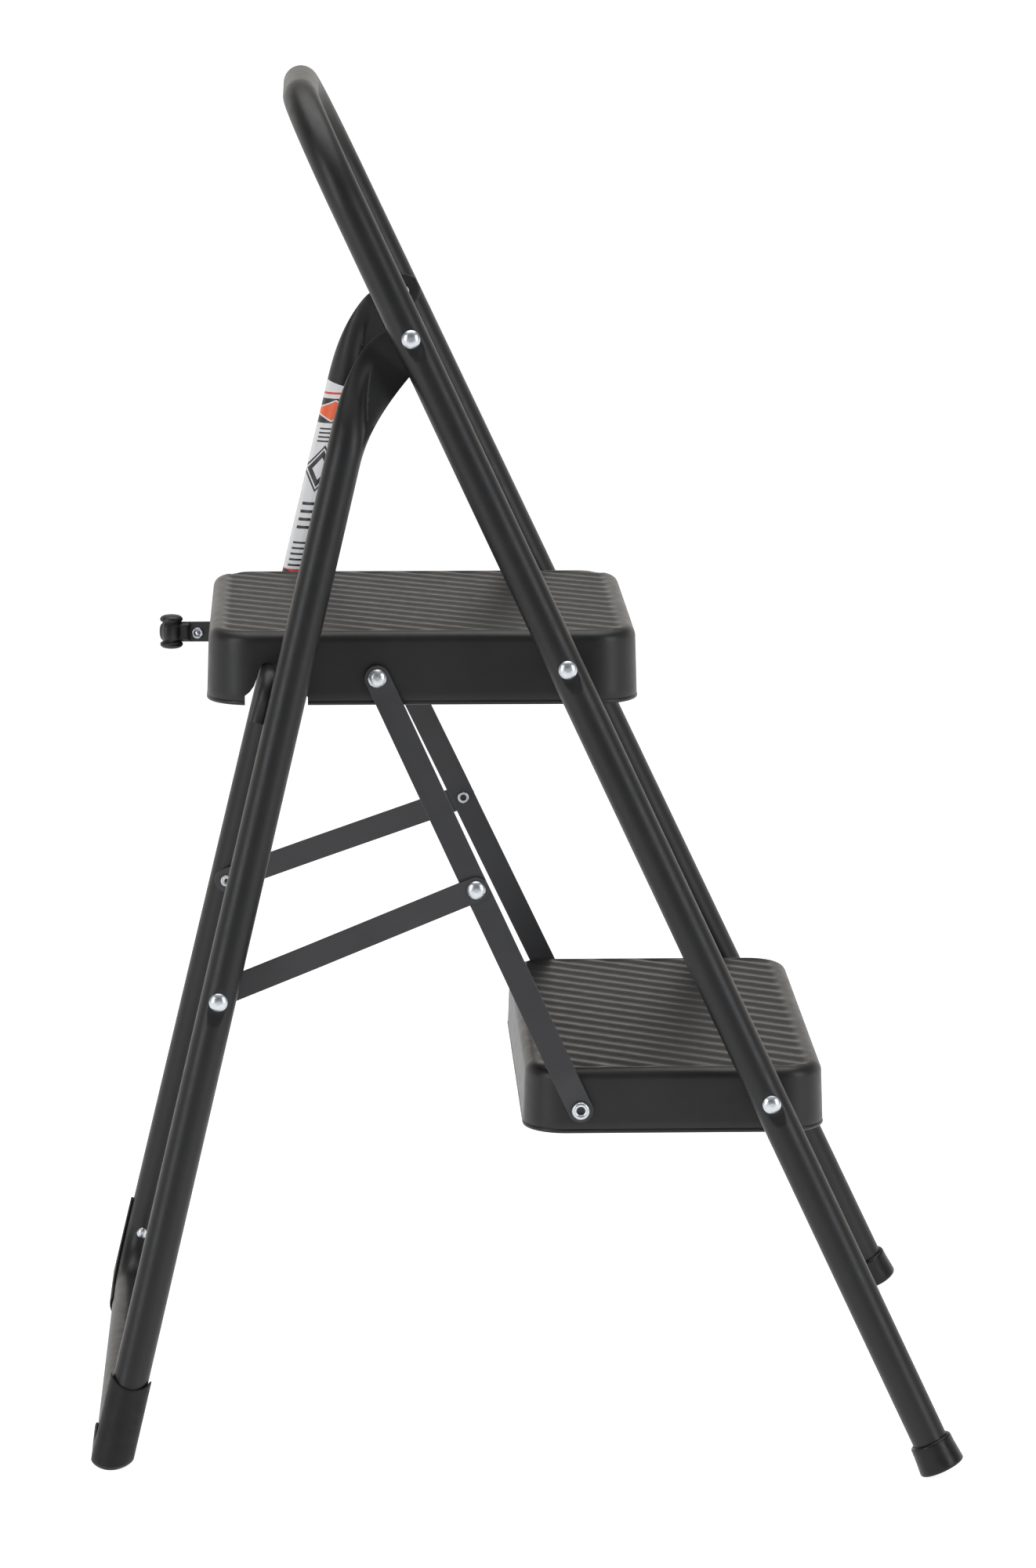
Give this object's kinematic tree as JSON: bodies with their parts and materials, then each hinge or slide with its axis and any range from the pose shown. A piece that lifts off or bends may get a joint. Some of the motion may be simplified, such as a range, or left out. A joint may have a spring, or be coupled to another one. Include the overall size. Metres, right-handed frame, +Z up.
{
  "type": "folding step stool",
  "caption": "Folding steel step stool with ribbed pan treads, a tall loop handle, riveted scissor braces, a spring latch under the upper tread and rubber-shod feet.",
  "frame": {"origin": "centre of the footprint at floor level, the middle of the bounding box's bottom face", "axes": "+Z up; -Y towards the side that is climbed; +X to the right of a person who faces the steps"},
  "size_m": [0.4668, 0.5458, 0.861],
  "materials": {
    "black_tube": "satin black powder coat",
    "black_tread": "satin black powder coat, lightly scuffed on the treads",
    "black_strap": "satin black powder coat on sheared strip",
    "zinc_rivet": "bright zinc plate",
    "spring_wire": "bright drawn wire",
    "black_rubber": "moulded, slightly glossy",
    "black_boot": "moulded, matte",
    "black_spacer": "turned nylon",
    "black_knob": "moulded, fine grain",
    "label_film": "printed film, no lettering"
  },
  "bodies": {
    "front_frame": {"front_frame_tube": "black_tube", "front_foot_tip_left": "black_rubber", "front_foot_tip_right": "black_rubber", "frame_pivot_rivets": "zinc_rivet", "top_step_pivot_rivets": "zinc_rivet", "lower_step_pivot_rivets": "zinc_rivet", "top_step_spacers": "black_spacer", "lower_step_spacers": "black_spacer"},
    "rear_frame": {"rear_frame_tube": "black_tube", "rear_catch_bar": "black_tube", "rear_boot_left": "black_boot", "rear_boot_right": "black_boot", "rear_boot_rivets": "zinc_rivet", "link_leg_rivets": "zinc_rivet", "rear_leg_label": "label_film"},
    "top_step": {"top_step_pan": "black_tread", "top_step_stiffener": "black_tread", "brace_top_rivets": "zinc_rivet", "latch_bracket": "black_strap", "latch_pin": "zinc_rivet", "latch_spring": "spring_wire"},
    "lower_step": {"lower_step_pan": "black_tread", "lower_step_stiffener": "black_tread", "brace_low_rivets": "zinc_rivet"},
    "latch": {"latch_lever": "black_strap", "latch_knob": "black_knob", "latch_knob_rivet": "zinc_rivet"},
    "long_brace_left": {"long_brace_left": "black_strap", "brace_link_rivet_left": "zinc_rivet"},
    "short_link_left": {"short_link_left": "black_strap", "link_tail_button_left": "zinc_rivet"},
    "long_brace_right": {"long_brace_right": "black_strap", "brace_link_rivet_right": "zinc_rivet"},
    "short_link_right": {"short_link_right": "black_strap", "link_tail_button_right": "zinc_rivet"}
  },
  "joints": [
    {"name": "top_step_fold", "type": "hinge", "parent": "front_frame", "child": "top_step", "pos_m": [0, -0.02513, 0.506], "axis": [1, 0, 0], "range_deg": [0, 62]},
    {"name": "lower_step_fold", "type": "hinge", "parent": "front_frame", "child": "lower_step", "pos_m": [0, -0.15163, 0.2366], "axis": [1, 0, 0], "range_deg": [0, 62.3]},
    {"name": "rear_frame_fold", "type": "hinge", "parent": "front_frame", "child": "rear_frame", "pos_m": [0, 0.07087, 0.7082], "axis": [-1, 0, 0], "range_deg": [0, 35.45]},
    {"name": "long_brace_left_pivot", "type": "hinge", "parent": "top_step", "child": "long_brace_left", "pos_m": [0, 0.09187, 0.4938], "axis": [-1, 0, 0], "range_deg": [0, 62.3]},
    {"name": "short_link_left_pivot", "type": "hinge", "parent": "long_brace_left", "child": "short_link_left", "pos_m": [0, 0.03064, 0.36341], "axis": [-1, 0, 0], "range_deg": [0, 84.17]},
    {"name": "long_brace_right_pivot", "type": "hinge", "parent": "top_step", "child": "long_brace_right", "pos_m": [0, 0.09187, 0.4938], "axis": [-1, 0, 0], "range_deg": [0, 62.3]},
    {"name": "short_link_right_pivot", "type": "hinge", "parent": "long_brace_right", "child": "short_link_right", "pos_m": [0, 0.03064, 0.36341], "axis": [-1, 0, 0], "range_deg": [0, 84.17]},
    {"name": "latch_lift", "type": "hinge", "parent": "top_step", "child": "latch", "pos_m": [0, 0.18287, 0.5045], "axis": [1, 0, 0], "range_deg": [0, 14], "stiffness_Nm_per_rad": 0.15, "springref_deg": -11.46}
  ],
  "couplings": [
    {"joint": "lower_step_fold", "follows": "top_step_fold", "ratio": 1},
    {"joint": "rear_frame_fold", "follows": "top_step_fold", "ratio": 0.56694},
    {"joint": "long_brace_left_pivot", "follows": "top_step_fold", "ratio": 1},
    {"joint": "short_link_left_pivot", "follows": "top_step_fold", "ratio": 1.3528},
    {"joint": "long_brace_right_pivot", "follows": "top_step_fold", "ratio": 1},
    {"joint": "short_link_right_pivot", "follows": "top_step_fold", "ratio": 1.3528}
  ]
}
